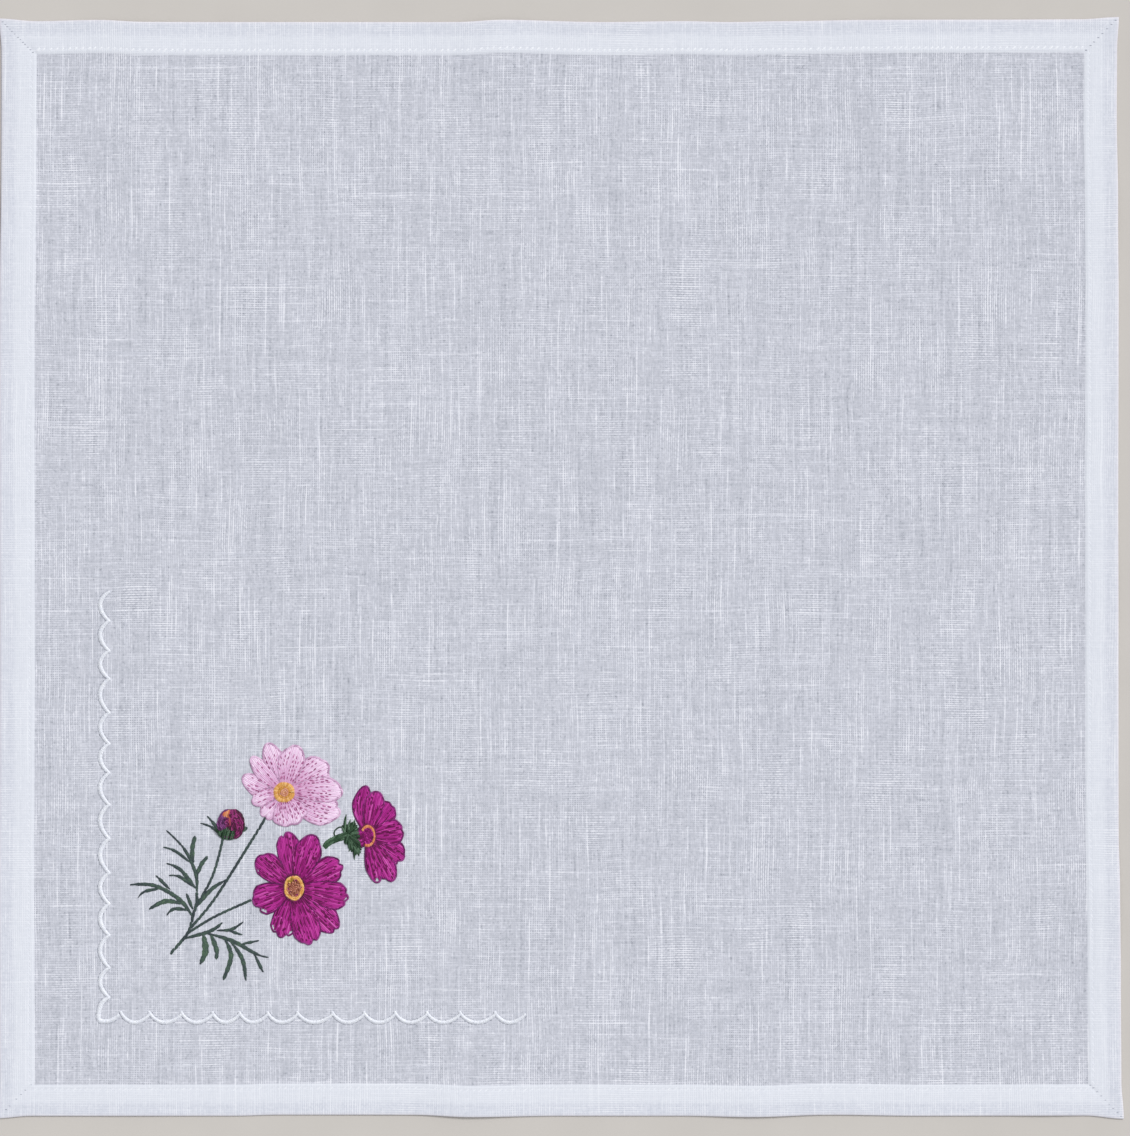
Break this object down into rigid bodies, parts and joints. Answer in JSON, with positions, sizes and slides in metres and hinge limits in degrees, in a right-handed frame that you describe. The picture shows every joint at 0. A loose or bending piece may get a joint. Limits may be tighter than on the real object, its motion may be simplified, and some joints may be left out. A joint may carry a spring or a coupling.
{
  "type": "linen handkerchief",
  "caption": "Square linen handkerchief laid flat, with a mitred hem, a scalloped line and an embroidered spray of daisy-like flowers in one corner.",
  "frame": {"origin": "middle of the cloth's footprint, on the surface it lies on", "axes": "+X to the right and +Y up the face as in the picture, with the embroidered corner at -X -Y; +Z off the surface, out of the face"},
  "size_m": [0.3054, 0.2986, 0.0022],
  "materials": {
    "linen": "sheer bleached linen in a slubby plain weave, matt"
  },
  "bodies": {
    "root": {"linen_handkerchief": "linen"}
  },
  "joints": []
}
